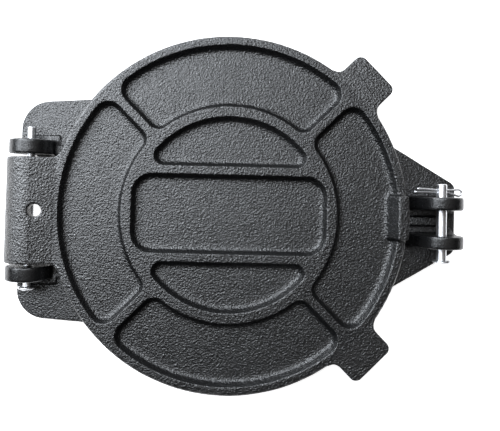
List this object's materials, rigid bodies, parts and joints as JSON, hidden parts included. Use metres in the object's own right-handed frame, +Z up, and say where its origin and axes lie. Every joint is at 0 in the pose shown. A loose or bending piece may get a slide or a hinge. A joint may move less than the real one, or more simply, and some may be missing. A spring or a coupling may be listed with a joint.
{
  "type": "tortilla press",
  "caption": "Hinged cast-iron press: round base plate with rear foot and lever lugs, round upper plate with pockets, lifting ears and a pressure lip, on a rear hinge pin.",
  "frame": {"origin": "middle of the overall footprint, on the table that the pads stand on; the plates' centre lies 3.6 mm behind it", "axes": "+Z up from the table, +X from the rear hinge towards the lever lugs, +Y along the hinge pin"},
  "size_m": [0.2644, 0.2046, 0.0306],
  "materials": {
    "castings": "satin black seasoned iron with a fine sand-cast grain",
    "pins": "bright zinc plate"
  },
  "bodies": {
    "base": {"base": "castings"},
    "upper_plate": {"upper_plate": "castings"},
    "hinge_pin": {"hinge_pin": "pins"},
    "lever_pin": {"lever_pin": "pins", "lever_split_pin": "pins"}
  },
  "joints": [
    {"name": "plate_hinge", "type": "hinge", "parent": "base", "child": "upper_plate", "pos_m": [-0.119, 0, 0.0136], "axis": [0, -1, 0], "range_deg": [0, 110]},
    {"name": "hinge_pin_turn", "type": "hinge", "parent": "base", "child": "hinge_pin", "pos_m": [-0.119, 0, 0.0136], "axis": [0, 1, 0], "continuous": true},
    {"name": "lever_pin_turn", "type": "hinge", "parent": "base", "child": "lever_pin", "pos_m": [0.1189, -0.002, 0.019], "axis": [0, 1, 0], "range_deg": [-30, 70]}
  ]
}
